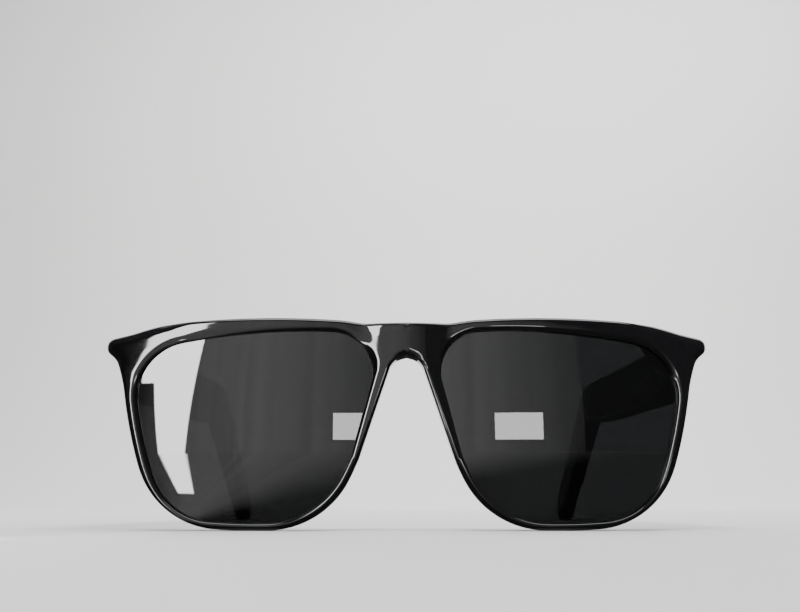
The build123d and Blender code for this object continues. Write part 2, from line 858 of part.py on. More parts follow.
flat_cable = block(
    (cable_thickness, cable_run, cable_width),
    board_rear + cable_run / 2 - cable_overlap,
    bay_mid_z + cable_rise,
    cover_thickness + cable_play,
)
antenna = block(antenna_size, battery_mid, bay_mid_z, antenna_depth)

with BuildPart() as button_cap:
    with BuildSketch(Plane.XY.offset(flange_top_z - button_flange)):
        add(button_slot(0))
    extrude(amount=cap_top_z - flange_top_z + button_flange)
    fillet(button_cap.faces().sort_by(Axis.Z)[-1].edges(), button_edge_round)
    with BuildSketch(Plane.XY.offset(flange_top_z - button_flange)):
        add(button_slot(button_flange_lip))
    extrude(amount=button_flange)


# Swing each temple piece in by the toe-in, face the shell's root and write both sides

temple_pieces = {
    "temple_shell": temple_shell,
    "inner_cover": inner_cover,
    "cover_screws": cover_screws,
    "ear_tip": ear_tip,
    "core_wire": core_wire,
    "temple_hinge_leaf": temple_leaf,
    "temple_leaf_screws": temple_leaf_screws,
    "battery": battery,
    "battery_pad": battery_pad_piece,
    "circuit_board": circuit_board,
    "shield_can": shield_can,
    "flat_cable": flat_cable,
    "antenna": antenna,
    "touch_sensor": touch_sensor,
    "speaker": speaker,
    "speaker_gasket": speaker_gasket,
    "speaker_grille": speaker_grille,
    "microphone": microphone,
    "microphone_seal": microphone_seal_ring,
    "tactile_switch": tactile_switch,
    "charging_contacts": charging_contacts,
    "charging_magnets": charging_magnets,
    "light_pipe": light_pipe,
    "button_cap": button_cap,
}
for label, piece in temple_pieces.items():
    with BuildPart() as swung:
        add(piece.part.rotate(hinge_axis, toe_in))
        if label == "temple_shell":
            butt_plane = Plane((0, butt_y + butt_gap, 0), z_dir=(0, 1, 0))
            split(bisect_by=butt_plane, keep=Keep.TOP)
    keep_pair(swung, label)

for piece in pieces:
    export_step(piece, f"parts/{piece.label}.step")
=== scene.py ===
import json
import math

import bpy
import numpy as np
from mathutils import Matrix


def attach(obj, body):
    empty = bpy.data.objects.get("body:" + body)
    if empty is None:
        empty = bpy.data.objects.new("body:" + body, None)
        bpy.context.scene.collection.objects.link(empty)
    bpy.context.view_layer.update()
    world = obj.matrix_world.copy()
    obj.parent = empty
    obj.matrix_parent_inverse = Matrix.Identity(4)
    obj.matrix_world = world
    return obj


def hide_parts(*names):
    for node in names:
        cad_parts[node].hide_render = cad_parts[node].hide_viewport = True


# Audio glasses standing open, for the wearer's left (+x) first, then mirrored. Sizes here are
# millimetres, and mm turns them into metres.
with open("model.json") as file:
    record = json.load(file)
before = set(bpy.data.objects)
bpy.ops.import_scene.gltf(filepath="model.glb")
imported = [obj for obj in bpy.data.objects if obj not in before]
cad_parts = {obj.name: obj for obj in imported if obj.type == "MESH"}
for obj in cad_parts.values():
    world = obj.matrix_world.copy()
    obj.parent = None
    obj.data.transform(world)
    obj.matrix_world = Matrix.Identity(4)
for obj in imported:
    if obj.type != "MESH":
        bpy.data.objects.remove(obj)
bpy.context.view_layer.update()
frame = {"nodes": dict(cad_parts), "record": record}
mm = 0.001
print("frame loaded:", len(frame["nodes"]), "nodes")


# Small helpers for working on one object at a time

def onlySelect(obj):
    bpy.ops.object.select_all(action="DESELECT")
    obj.select_set(True)
    bpy.context.view_layer.objects.active = obj


def openEdit(obj, keepAll=False):
    onlySelect(obj)
    bpy.ops.object.mode_set(mode="EDIT")
    bpy.ops.mesh.select_all(action="SELECT" if keepAll else "DESELECT")


def closeEdit():
    bpy.ops.object.mode_set(mode="OBJECT")


def setPoints(obj, points):
    obj.data.vertices.foreach_set("co", (np.asarray(points, float) * mm).ravel())
    obj.data.update()


def getPoints(obj):
    flat = np.empty(len(obj.data.vertices) * 3)
    obj.data.vertices.foreach_get("co", flat)
    return flat.reshape(-1, 3) / mm


def applyModifier(obj, kind, **settings):
    onlySelect(obj)
    modifier = obj.modifiers.new(kind.title(), kind)
    for key, value in settings.items():
        setattr(modifier, key, value)
    bpy.ops.object.modifier_apply(modifier=modifier.name)


def newPiece(name, add, **settings):
    # A fresh object from one of the primitives.
    bpy.ops.object.select_all(action="DESELECT")
    add(**settings)
    made = bpy.context.object
    made.name = name
    return made


def faceOutwards(obj):
    openEdit(obj, keepAll=True)
    bpy.ops.mesh.normals_make_consistent(inside=False)
    closeEdit()


def cleanUp(obj, distance):
    # Weld the seams and turn every face outwards.
    openEdit(obj, keepAll=True)
    bpy.ops.mesh.remove_doubles(threshold=distance * mm)
    bpy.ops.mesh.dissolve_degenerate(threshold=0.0005 * mm)
    bpy.ops.mesh.normals_make_consistent(inside=False)
    closeEdit()


def finishShading(obj, angle):
    onlySelect(obj)
    bpy.ops.object.shade_smooth_by_angle(angle=math.radians(angle))
    applyModifier(obj, "WEIGHTED_NORMAL", keep_sharp=True, weight=60)


def cutAway(obj, cutter):
    applyModifier(obj, "BOOLEAN", operation="DIFFERENCE", solver="EXACT", object=cutter)
    bpy.data.objects.remove(cutter)


def otherSide(obj, name):
    # The mirrored copy for the wearer's right.
    onlySelect(obj)
    bpy.ops.object.duplicate()
    twin = bpy.context.object
    twin.name = name
    twin.data.transform(Matrix.Scale(-1, 4, (1, 0, 0)))
    faceOutwards(twin)
    return twin


def smoothStep(value, low, high):
    share = np.clip((np.asarray(value, float) - low) / (high - low), 0, 1)
    return share * share * (3 - 2 * share)


# Outlines in the front and side planes

def arcThrough(start, end, bulge):
    # Centre and radius of the arc whose middle stands off its chord, to the left of travel.
    chord = end - start
    length = np.hypot(*chord)
    radius = (length ** 2 / 4 + bulge ** 2) / (2 * bulge)
    left = np.array([-chord[1], chord[0]]) / length
    return (start + end) / 2 + left * (bulge - radius), radius


def sweptPoints(centre, start, end, count):
    # Clockwise from one point to another.
    first = math.atan2(*(start - centre)[::-1])
    last = math.atan2(*(end - centre)[::-1])
    if last > first:
        last -= 2 * math.pi
    angles = np.linspace(first, last, count, endpoint=False)
    radius = np.hypot(*(start - centre))
    return centre + radius * np.column_stack([np.cos(angles), np.sin(angles)])


def roundedArcs(corners, bulges, rounds):
    # A closed clockwise outline of shallow arcs whose corners are rounded.
    corners = [np.array(corner, float) for corner in corners]
    arcs = [arcThrough(corners[k], corners[(k + 1) % 4], bulges[k]) for k in range(4)]
    fillets = []
    for k, radius in enumerate(rounds):
        (centreA, radiusA), (centreB, radiusB) = arcs[k - 1], arcs[k]
        reachA, reachB = radiusA - radius, radiusB - radius
        between = centreB - centreA
        span = np.hypot(*between)
        along = (reachA ** 2 - reachB ** 2 + span ** 2) / (2 * span)
        across = math.sqrt(max(reachA ** 2 - along ** 2, 0))
        way = between / span
        foot = centreA + way * along
        options = [foot + side * across * np.array([-way[1], way[0]]) for side in (-1, 1)]
        middle = min(options, key=lambda spot: np.hypot(*(spot - corners[k])))
        enter = centreA + (middle - centreA) / np.hypot(*(middle - centreA)) * radiusA
        leave = centreB + (middle - centreB) / np.hypot(*(middle - centreB)) * radiusB
        fillets.append((middle, enter, leave))
    points = []
    for k in range(4):
        middle, enter, leave = fillets[k]
        points.append(sweptPoints(middle, enter, leave, 60))
        points.append(sweptPoints(arcs[k][0], leave, fillets[(k + 1) % 4][1], 120))
    return np.vstack(points)


def evenly(points, count, closed=True):
    loop = np.vstack([points, points[:1]]) if closed else points
    run = np.concatenate([[0], np.cumsum(np.hypot(*np.diff(loop, axis=0).T))])
    wanted = np.linspace(0, run[-1], count, endpoint=not closed)
    return np.column_stack([np.interp(wanted, run, loop[:, axis]) for axis in (0, 1)])


def softened(points, passes, fixed=()):
    points = points.copy()
    for _ in range(passes):
        moved = points / 2 + (np.roll(points, 1, axis=0) + np.roll(points, -1, axis=0)) / 4
        moved[list(fixed)] = points[list(fixed)]
        points = moved
    return points


def outwardOf(points):
    # Normals on the left of travel, which is the outside of a clockwise loop.
    step = np.roll(points, -1, axis=0) - np.roll(points, 1, axis=0)
    normal = np.column_stack([-step[:, 1], step[:, 0]])
    return normal / np.hypot(*normal.T)[:, None]


def nearest(points, spot):
    return int(np.argmin(np.hypot(*(points - np.array(spot, float)).T)))


def gapTo(points, outline):
    # The distance of every point from a polyline, by its segments.
    start, way = outline[:-1], np.diff(outline, axis=0)
    length = (way ** 2).sum(axis=1)
    best = np.full(len(points), 1e9)
    for k in range(len(start)):
        along = np.clip(((points - start[k]) @ way[k]) / max(length[k], 1e-12), 0, 1)
        best = np.minimum(best, np.hypot(*(points - start[k] - along[:, None] * way[k]).T))
    return best


# Finishes

class Wire:
    # A socket that takes part in arithmetic.
    def __init__(self, finish, socket):
        self.finish = finish
        self.socket = socket

    def math(self, operation, first, second):
        return self.finish.node("ShaderNodeMath", {"operation": operation}, {0: first, 1: second})

    def __add__(self, other):
        return self.math("ADD", self, other)

    def __sub__(self, other):
        return self.math("SUBTRACT", self, other)

    def __rsub__(self, other):
        return self.math("SUBTRACT", other, self)

    def __mul__(self, other):
        return self.math("MULTIPLY", self, other)

    def __truediv__(self, other):
        return self.math("DIVIDE", self, other)

    def __rtruediv__(self, other):
        return self.math("DIVIDE", other, self)

    __radd__ = __add__
    __rmul__ = __mul__


class Finish:
    def __init__(self, name, **constants):
        self.material = bpy.data.materials.new(name)
        self.material.use_nodes = True
        self.tree = self.material.node_tree
        self.shader = next(n for n in self.tree.nodes if n.type == "BSDF_PRINCIPLED")
        for key, value in constants.items():
            self.shader.inputs[key.replace("_", " ")].default_value = value
        coordinates = self.tree.nodes.new("ShaderNodeTexCoord")
        self.place = Wire(self, coordinates.outputs["Object"])

    def node(self, kind, settings, sockets, output=0):
        made = self.tree.nodes.new(kind)
        for key, value in settings.items():
            if key == "stops":
                ramp = made.color_ramp.elements
                while len(ramp) < len(value):
                    ramp.new(0.5)
                for stop, (position, tint) in zip(ramp, value):
                    stop.position = position
                    stop.color = tint
            else:
                setattr(made, key, value)
        for key, value in sockets.items():
            if isinstance(value, Wire):
                self.tree.links.new(value.socket, made.inputs[key])
            else:
                made.inputs[key].default_value = value
        return Wire(self, made.outputs[output])

    def feed(self, name, wire):
        self.tree.links.new(wire.socket, self.shader.inputs[name])

    def stretched(self, scale):
        return self.node("ShaderNodeMapping", {}, {"Vector": self.place, "Scale": scale})

    def noise(self, scale, detail=3.0, roughness=0.5, vector=None):
        sockets = {"Vector": vector or self.place, "Scale": scale, "Detail": detail, "Roughness": roughness}
        return self.node("ShaderNodeTexNoise", {}, sockets)

    def cells(self, scale):
        return self.node("ShaderNodeTexVoronoi", {}, {"Vector": self.place, "Scale": scale})

    def ramp(self, wire, stops):
        shades = [(position, (shade, shade, shade, 1)) for position, shade in stops]
        return self.node("ShaderNodeValToRGB", {"stops": shades}, {"Fac": wire})

    def tint(self, share, first, second):
        sockets = {0: share, 6: (*first, 1), 7: (*second, 1)}
        return self.node("ShaderNodeMix", {"data_type": "RGBA"}, sockets, 2)

    def bump(self, height, strength, distance):
        sockets = {"Height": height, "Strength": strength, "Distance": distance * mm}
        self.feed("Normal", self.node("ShaderNodeBump", {}, sockets))


def polishedBlack(name, shade, haze):
    # Lacquer over black acetate: handling haze, fine dust and a few hairlines.
    finish = Finish(name, IOR=1.48)
    cloud = finish.noise(60, 4, 0.6)
    speck = finish.ramp(finish.cells(1400), [(0.0, 1.0), (0.07, 0.0)])
    lint = speck * finish.ramp(finish.noise(90, 2), [(0.56, 0.0), (0.66, 1.0)])
    hair = finish.noise(40, 6, 0.7, finish.stretched((1, 9, 30)))
    finish.feed("Base Color", finish.tint(lint, shade, tuple(6 * part for part in shade)))
    finish.feed("Roughness", 0.035 + haze * cloud + 0.3 * lint)
    finish.bump(hair + 0.25 * cloud, 0.03, 0.03)
    return finish.material


def smokedLens(name):
    # Dark tinted sheet with a hard coat, clean but for a little haze.
    finish = Finish(name, IOR=1.53, Transmission_Weight=1.0)
    haze = finish.noise(35, 3, 0.5)
    speck = finish.ramp(finish.cells(900), [(0.0, 1.0), (0.05, 0.0)])
    lint = speck * finish.ramp(finish.noise(70, 2), [(0.58, 0.0), (0.68, 1.0)])
    finish.feed("Base Color", finish.tint(haze, (0.0075, 0.0078, 0.0082), (0.009, 0.0093, 0.0097)))
    finish.feed("Roughness", 0.004 + 0.012 * haze + 0.2 * lint)
    return finish.material


def sparkTexture(name, shade, grain, depth, rough):
    # Moulded plastic with a fine eroded texture.
    finish = Finish(name, IOR=1.5)
    pits = finish.cells(grain)
    cloud = finish.noise(grain / 3, 5, 0.6)
    darker, lighter = tuple(0.8 * part for part in shade), tuple(1.25 * part for part in shade)
    finish.feed("Base Color", finish.tint(cloud, darker, lighter))
    finish.feed("Roughness", rough + 0.12 * cloud)
    finish.bump(pits + 0.6 * cloud, 0.5, depth)
    return finish.material


def brushedMetal(name, shade, rough, lines=(4, 4, 90)):
    finish = Finish(name, Metallic=1.0)
    brush = finish.noise(60, 5, 0.6, finish.stretched(lines))
    cloud = finish.noise(180, 3)
    dark = tuple(0.75 * part for part in shade)
    finish.feed("Base Color", finish.tint(cloud, dark, shade))
    finish.feed("Roughness", rough - 0.08 + 0.2 * brush)
    finish.bump(brush, 0.12, 0.02)
    return finish.material


def pouchFoil(name):
    finish = Finish(name, Metallic=1.0)
    crease = finish.noise(240, 5, 0.65)
    ribPlan = {"Vector": finish.place, "Scale": 160.0}
    ribs = finish.node("ShaderNodeTexWave", {"bands_direction": "Y"}, ribPlan)
    finish.feed("Base Color", finish.tint(crease, (0.52, 0.53, 0.55), (0.7, 0.71, 0.73)))
    finish.feed("Roughness", 0.3 + 0.2 * crease)
    finish.bump(crease + 0.2 * ribs, 0.35, 0.08)
    return finish.material


def solderMask(name):
    finish = Finish(name, IOR=1.5, Coat_Weight=0.3)
    weave = finish.noise(500, 3)
    lift = finish.node("ShaderNodeTexBrick", {}, {"Vector": finish.place, "Scale": 420.0}, 1)
    finish.feed("Base Color", finish.tint(lift, (0.012, 0.07, 0.035), (0.02, 0.11, 0.055)))
    finish.feed("Roughness", 0.32 + 0.1 * weave)
    finish.bump(lift, 0.2, 0.03)
    return finish.material


def amberFilm(name):
    finish = Finish(name, IOR=1.6, Coat_Weight=0.4)
    cloud = finish.noise(150, 3)
    finish.feed("Base Color", finish.tint(cloud, (0.45, 0.2, 0.035), (0.62, 0.3, 0.06)))
    finish.feed("Roughness", 0.2 + 0.12 * cloud)
    return finish.material


def closedFoam(name):
    finish = Finish(name, IOR=1.4)
    cells = finish.cells(2600)
    finish.feed("Base Color", finish.tint(cells, (0.02, 0.02, 0.02), (0.06, 0.06, 0.06)))
    finish.feed("Roughness", 0.78 + 0.15 * cells)
    finish.bump(cells, 0.7, 0.1)
    return finish.material


def frostedRod(name):
    finish = Finish(name, IOR=1.49, Transmission_Weight=0.7)
    cloud = finish.noise(300, 3)
    finish.feed("Base Color", finish.tint(cloud, (0.82, 0.84, 0.86), (0.92, 0.93, 0.94)))
    finish.feed("Roughness", 0.35 + 0.15 * cloud)
    return finish.material


finishes = {
    "frame_gloss": polishedBlack("pianoBlack", (0.0055, 0.0055, 0.0062), 0.03),
    "temple_gloss": polishedBlack("templeBlack", (0.0055, 0.0055, 0.0062), 0.05),
    "tip_gloss": polishedBlack("tipBlack", (0.007, 0.007, 0.0075), 0.08),
    "button_gloss": polishedBlack("buttonBlack", (0.011, 0.011, 0.012), 0.08),
    "smoke_lens": smokedLens("smokeLens"),
    "cover_matte": sparkTexture("coverTexture", (0.022, 0.022, 0.024), 1500, 0.05, 0.5),
    "hinge_steel": brushedMetal("blackenedSteel", (0.3, 0.3, 0.31), 0.34),
    "screw_steel": brushedMetal("screwSteel", (0.42, 0.42, 0.43), 0.28, (40, 4, 4)),
    "spring_steel": brushedMetal("springSteel", (0.6, 0.6, 0.61), 0.3),
    "battery_foil": pouchFoil("pouchFoil"),
    "foam_pad": closedFoam("closedFoam"),
    "board_green": solderMask("solderMask"),
    "can_steel": brushedMetal("tinnedCan", (0.66, 0.66, 0.67), 0.34),
    "cable_amber": amberFilm("amberFilm"),
    "speaker_body": sparkTexture("speakerBody", (0.03, 0.03, 0.032), 2200, 0.03, 0.4),
    "grille_black": brushedMetal("grilleBlack", (0.05, 0.05, 0.052), 0.5),
    "switch_body": sparkTexture("switchBody", (0.04, 0.04, 0.042), 2600, 0.03, 0.42),
    "contact_gold": brushedMetal("platedGold", (0.86, 0.62, 0.26), 0.2),
    "magnet_nickel": brushedMetal("nickelPlate", (0.7, 0.69, 0.66), 0.2),
    "light_pipe_clear": frostedRod("frostedPipe"),
}
print("finishes made:", len(finishes))


def wear(obj, slotName):
    obj.data.materials.clear()
    obj.data.materials.append(finishes[slotName])


# Shape shared by the front and the lenses
face = {
    "radius": 190.0,          # each lens is part of a sphere
    "axisX": 29.0,
    "axisZ": 24.384,
    "apexY": -77.5,
    "lensX": 36.8,
    "lensRecess": 1.3,
    "lensThickness": 2.0,
    "lensBite": 0.7,
    "lensPlay": 0.05,
    "eyeCorners": [(-28.8, 22.25), (30.0, 17.65), (19.5, -21.35), (-15.2, -22.25)],
    "eyeBulges": (2.3, 1.9, 1.0, 4.1),
    "eyeRounds": (10.2, 12.7, 16.4, 19.8),
}


def faceY(points, depth):
    # How far back the sphere lies, at a depth behind its front.
    radius = face["radius"] - depth
    inside = radius ** 2 - (points[:, 0] - face["axisX"]) ** 2 - (points[:, 1] - face["axisZ"]) ** 2
    return face["apexY"] + face["radius"] - np.sqrt(inside)


def eyeOutline(grow):
    ways = [(-1, 1), (1, 1), (1, -1), (-1, -1)]
    corners = [
        (face["lensX"] + x + grow * wayX, face["axisZ"] + z + grow * wayZ)
        for (x, z), (wayX, wayZ) in zip(face["eyeCorners"], ways)
    ]
    return roundedArcs(corners, face["eyeBulges"], [radius + grow for radius in face["eyeRounds"]])


# The front: a ring about each lens, joined by the bridge
front = {
    "spokes": 288,
    "rimSteps": [(4.2, 2.3), (3.7, 5.9), (2.0, 1.5), (0.9, 1.7)],   # past the opening's corners
    "rimBulges": (1.9, 2.2, 0.9, 4.0),
    "rimRounds": (8.8, 5.8, 22.0, 21.4),
    "depth": 4.6,
    "bridgeTop": 48.97,
    "bridgeRise": 0.06,
    "bridgeRadius": 27.0,
    "bridgeFront": -77.0,
    "bridgeDepth": 5.0,
    "archTop": 40.85,
    "arch": [(0, 40.85), (1.9, 40.45), (3.2, 39.5), (4.15, 38.0), (4.75, 36.0), (5.3, 33.6)],
    "tip": [
        (64.5, 48.15), (67.7, 47.25), (70.8, 46.6), (73.2, 46.2), (74.05, 45.75), (74.38, 44.9),
        (74.38, 43.2), (74.0, 42.5), (72.9, 42.0), (71.6, 40.9), (70.5, 39.3), (69.7, 37.2),
    ],
    "browFrom": (15, 48),
    "browTo": 61,
    "underFrom": (68.6, 34.0),
    "underTo": (7.4, 26.0),
    "barReach": 20,
    "barBackReach": 14,
    "barBlend": 0.3,
    "barToLens": (4.5, 9.0),
    "buttY": -65.0,
    "buttFromX": (57.2, 60.2),
    "buttFromZ": (34.0, 39.0),
    "outerRound": 0.9,
    "tipRound": 2.4,
    "tipFromX": (52.0, 62.0),
    "tipFromZ": (38.0, 43.0),
    "innerBevel": 2.1,
    "innerDrop": 1.05,
    "backRound": 0.45,
    "padCentre": 25.9,
    "padHalf": 8.0,
    "padReach": 4.3,
}


# Where spokes leave the opening and where they land, at the bridge and at the endpiece
spokePairs = [
    ((20.0, 47.6), (17.5, 49.5)), ((14.5, 46.6), (9.5, 49.0)), ((11.6, 45.2), (4.0, 48.97)),
    ((10.1, 43.6), (0, 48.97)), ((9.0, 41.0), (0, 45.0)), ((8.65, 38.6), (0, 40.85)),
    ((8.6, 36.8), (3.0, 39.65)), ((8.8, 34.0), (4.85, 35.6)), ((9.3, 29.5), (6.45, 30.0)),
    ((54.5, 44.55), (56.5, 49.4)), ((58.5, 43.0), (63.0, 48.4)), ((61.2, 41.1), (69.5, 46.9)),
    ((62.6, 39.6), (73.4, 46.1)), ((63.5, 38.4), (74.38, 44.2)), ((64.1, 37.3), (73.6, 42.2)),
    ((64.7, 35.7), (71.0, 40.1)), ((65.1, 33.6), (69.55, 36.6)), ((65.2, 30.8), (68.4, 32.0)),
]


def rimOutline():
    # The half outline, clockwise from the bridge's middle: brow, endpiece, rim, nose arch.
    ways = [(-1, 1), (1, 1), (1, -1), (-1, -1)]
    corners = [
        (face["lensX"] + x + wayX * stepX, face["axisZ"] + z + wayZ * stepZ)
        for (x, z), (wayX, wayZ), (stepX, stepZ) in zip(face["eyeCorners"], ways, front["rimSteps"])
    ]
    loop = roundedArcs(corners, front["rimBulges"], front["rimRounds"])
    browX, browZ = front["browFrom"]
    brow = loop[(loop[:, 1] > browZ) & (loop[:, 0] > browX) & (loop[:, 0] < front["browTo"])]
    brow = brow[np.argsort(brow[:, 0])]
    first = nearest(loop, front["underFrom"])
    last = nearest(loop, front["underTo"])
    under = np.roll(loop, -first, axis=0)[: (last - first) % len(loop)]
    high = front["bridgeTop"]
    top = np.array([(0, high), (5, high), (10, high + front["bridgeRise"])])
    line = np.vstack([top, brow, front["tip"], under, front["arch"][::-1]])
    line = evenly(line, 900, closed=False)
    ends = (0, 1, 2, 3, -1, -2)
    line = softened(line, 22, ends)
    line[0] = (0, front["bridgeTop"])
    line[-1] = (0, front["archTop"])
    return line


def spokeTargets(eye, outline):
    # For each spoke's start on the opening, where it ends on the outline or the middle line.
    middle = np.column_stack([np.zeros(60), np.linspace(front["archTop"], front["bridgeTop"], 60)])[1:-1]
    loop = np.vstack([outline, middle])
    run = np.concatenate([[0], np.cumsum(np.hypot(*np.diff(loop, axis=0).T))])
    total = run[-1] + np.hypot(*(loop[0] - loop[-1]))
    pairs = list(spokePairs)
    regular = [eye[k] for k in range(0, len(eye), 6)]
    regular = [p for p in regular if (20 < p[0] < 54) or (p[1] < 29 and p[0] >= 9.3)]
    pairs += [(tuple(p), tuple(outline[nearest(outline, p)])) for p in regular]
    knots = sorted((nearest(eye, start), run[nearest(loop, end)]) for start, end in pairs)
    places = np.array([knot[0] for knot in knots], float)
    values = np.array([knot[1] for knot in knots])
    values = np.unwrap(values, period=total)
    count = len(eye)
    places = np.concatenate([places - count, places, places + count])
    values = np.concatenate([values - total, values, values + total])
    order = np.arange(count)
    spots = np.interp(order, places, values)
    turns = spots - order * total / count
    for _ in range(10):
        turns = turns / 2 + (np.roll(turns, 1) + np.roll(turns, -1)) / 4
    spots = (turns + order * total / count) % total
    ringRun = np.concatenate([run, [total]])
    ring = np.vstack([loop, loop[:1]])
    ends = np.column_stack([np.interp(spots, ringRun, ring[:, axis]) for axis in (0, 1)])
    ends[nearest(ends, (0, front["bridgeTop"]))] = (0, front["bridgeTop"])
    ends[nearest(ends, (0, front["archTop"]))] = (0, front["archTop"])
    ends[ends[:, 0] < 0.02, 0] = 0
    return ends


def frontSurface(points):
    sphere = faceY(points, 0)
    x = np.clip(np.abs(points[:, 0]), 0, front["barReach"])
    bar = front["bridgeFront"] + front["bridgeRadius"] - np.sqrt(front["bridgeRadius"] ** 2 - x ** 2)
    blend = front["barBlend"]
    lead = np.minimum(sphere, bar)
    soft = lead - blend * np.log(np.exp((lead - sphere) / blend) + np.exp((lead - bar) / blend))
    return np.maximum(soft, front["bridgeFront"])


def backSurface(points):
    x, z = points[:, 0], points[:, 1]
    sphere = faceY(points, front["depth"])
    inner = front["bridgeRadius"] - front["bridgeDepth"]
    reach = np.clip(x, 0, front["barBackReach"])
    bar = front["bridgeFront"] + front["bridgeRadius"] - np.sqrt(inner ** 2 - reach ** 2)
    back = bar + (sphere - bar) * smoothStep(x, *front["barToLens"])
    butt = smoothStep(x, *front["buttFromX"]) * smoothStep(z, *front["buttFromZ"])
    back = back + (front["buttY"] - back) * butt
    along = np.clip((z - front["padCentre"]) / front["padHalf"], -1, 1)
    return back + front["padReach"] * (1 - along ** 2) ** 0.8 * (x < front["barReach"])


def roundedDrop(gap, width, depth):
    share = np.clip(1 - gap / np.maximum(width, 1e-6), 0, 1)
    return depth * (1 - np.sqrt(1 - share ** 2))


def frontRing():
    # Cross-sections round the opening: front face, outer wall, back face and lens groove.
    eye = evenly(eyeOutline(0), front["spokes"])
    outline = rimOutline()
    ends = spokeTargets(eye, outline)
    normal = outwardOf(eye)
    eyeLoop = np.vstack([eyeOutline(0), eyeOutline(0)[:1]])
    width = gapTo(eye, outline)
    length = np.hypot(*(ends - eye).T)
    way = (ends - eye) / length[:, None]
    bevel = np.minimum(front["innerBevel"], 0.46 * width)
    bevelDrop = np.minimum(front["innerDrop"], 0.8 * bevel)
    tipShare = smoothStep(ends[:, 0], *front["tipFromX"]) * smoothStep(ends[:, 1], *front["tipFromZ"])
    edge = front["outerRound"] + (front["tipRound"] - front["outerRound"]) * tipShare
    outerRound = np.minimum(edge, 0.42 * width)
    slant = np.clip((way * normal).sum(axis=1), 0.45, 1)
    quarter = 1 - np.cos(np.linspace(0, math.pi / 2, 8))
    startShare = bevel[:, None] * quarter / (length * slant)[:, None]
    endShare = 1 - (outerRound[:, None] * quarter / length[:, None])[:, ::-1]
    crowd = startShare[:, -1] + (1 - endShare[:, 0])
    squeeze = np.where(crowd > 0.92, 0.92 / crowd, 1)[:, None]
    startShare = startShare * squeeze
    endShare = 1 - (1 - endShare) * squeeze
    middle = np.linspace(0, 1, 7)[1:-1]
    middleShare = startShare[:, -1:] + (endShare[:, :1] - startShare[:, -1:]) * middle
    frontShare = np.hstack([startShare, middleShare, endShare])
    backQuarter = 1 - np.cos(np.linspace(0, math.pi / 2, 4))
    backRound = np.minimum(front["backRound"], 0.3 * width)
    backIn = backRound[:, None] * backQuarter / (length * slant)[:, None]
    backOut = 1 - (backRound[:, None] * backQuarter / length[:, None])[:, ::-1]
    backMiddle = backIn[:, -1:] + (backOut[:, :1] - backIn[:, -1:]) * middle
    backShare = np.hstack([backIn, backMiddle, backOut])[:, ::-1]

    def layer(share, surface, innerWidth, innerDepth, outerWidth, outerDepth, sign):
        flat = (eye[:, None, :] + way[:, None, :] * (share * length[:, None])[:, :, None]).reshape(-1, 2)
        columns = share.shape[1]
        spread = [np.repeat(v, columns) for v in (innerWidth, innerDepth, outerWidth, outerDepth)]
        drop = roundedDrop(gapTo(flat, eyeLoop), spread[0], spread[1])
        drop = drop + roundedDrop(gapTo(flat, outline), spread[2], spread[3])
        y = surface(flat) + sign * drop
        return np.column_stack([flat[:, 0], y, flat[:, 1]]).reshape(len(eye), columns, 3)

    faceLayer = layer(frontShare, frontSurface, bevel, bevelDrop, outerRound, outerRound, 1)
    backLayer = layer(backShare, backSurface, backRound, backRound, backRound, backRound, -1)
    grooveFront = faceY(eye, face["lensRecess"] - face["lensPlay"])
    grooveBack = faceY(eye, face["lensRecess"] + face["lensThickness"] + face["lensPlay"])
    deep = eye + normal * (face["lensBite"] + face["lensPlay"])
    wall = np.stack([
        np.column_stack([eye[:, 0], grooveBack, eye[:, 1]]),
        np.column_stack([deep[:, 0], grooveBack, deep[:, 1]]),
        np.column_stack([deep[:, 0], grooveFront, deep[:, 1]]),
        np.column_stack([eye[:, 0], grooveFront, eye[:, 1]]),
    ], axis=1)
    sideWall = (faceLayer[:, -1:] + backLayer[:, :1]) / 2
    return np.concatenate([faceLayer, sideWall, backLayer, wall], axis=1)


def makeFront():
    ring = frontRing()
    segments = {"major_segments": ring.shape[0], "minor_segments": ring.shape[1]}
    body = newPiece("frontBody", bpy.ops.mesh.primitive_torus_add, **segments)
    setPoints(body, ring.reshape(-1, 3))
    openEdit(body)
    closeEdit()
    flatX = np.abs(getPoints(body)[:, 0]) < 0.001
    for polygon in body.data.polygons:
        polygon.select = all(flatX[v] for v in polygon.vertices)
    bpy.ops.object.mode_set(mode="EDIT")
    bpy.ops.mesh.select_mode(type="FACE")
    bpy.ops.mesh.delete(type="FACE")
    closeEdit()
    applyModifier(body, "MIRROR", use_axis=(True, False, False), merge_threshold=0.003 * mm)
    cleanUp(body, 0.002)
    return body


hinge = {
    "axisX": 64.95,
    "axisY": -64.1,
    "z": 43.2656,
    "height": 5.0,
    "knuckleClear": 1.85,
    "knuckleRoom": 0.35,
    "leafWidth": 2.6,
    "leafDepth": 0.82,
    "play": 0.06,
    "pinHead": 0.5,
    "templeLeafReach": 6.66,
}


def boxCutter(low, high):
    low, high = np.array(low, float), np.array(high, float)
    place = tuple((low + high) / 2 * mm)
    cutter = newPiece("boxCutter", bpy.ops.mesh.primitive_cube_add, size=1, location=place)
    cutter.scale = tuple((high - low) * mm)
    bpy.ops.object.transform_apply(location=True, rotation=True, scale=True)
    return cutter


def rodCutter(radius, centre, height, sides=48):
    place = tuple(c * mm for c in centre)
    sizes = {"vertices": sides, "radius": radius * mm, "depth": height * mm, "location": place}
    cutter = newPiece("rodCutter", bpy.ops.mesh.primitive_cylinder_add, **sizes)
    bpy.ops.object.transform_apply(location=True, rotation=True, scale=True)
    return cutter


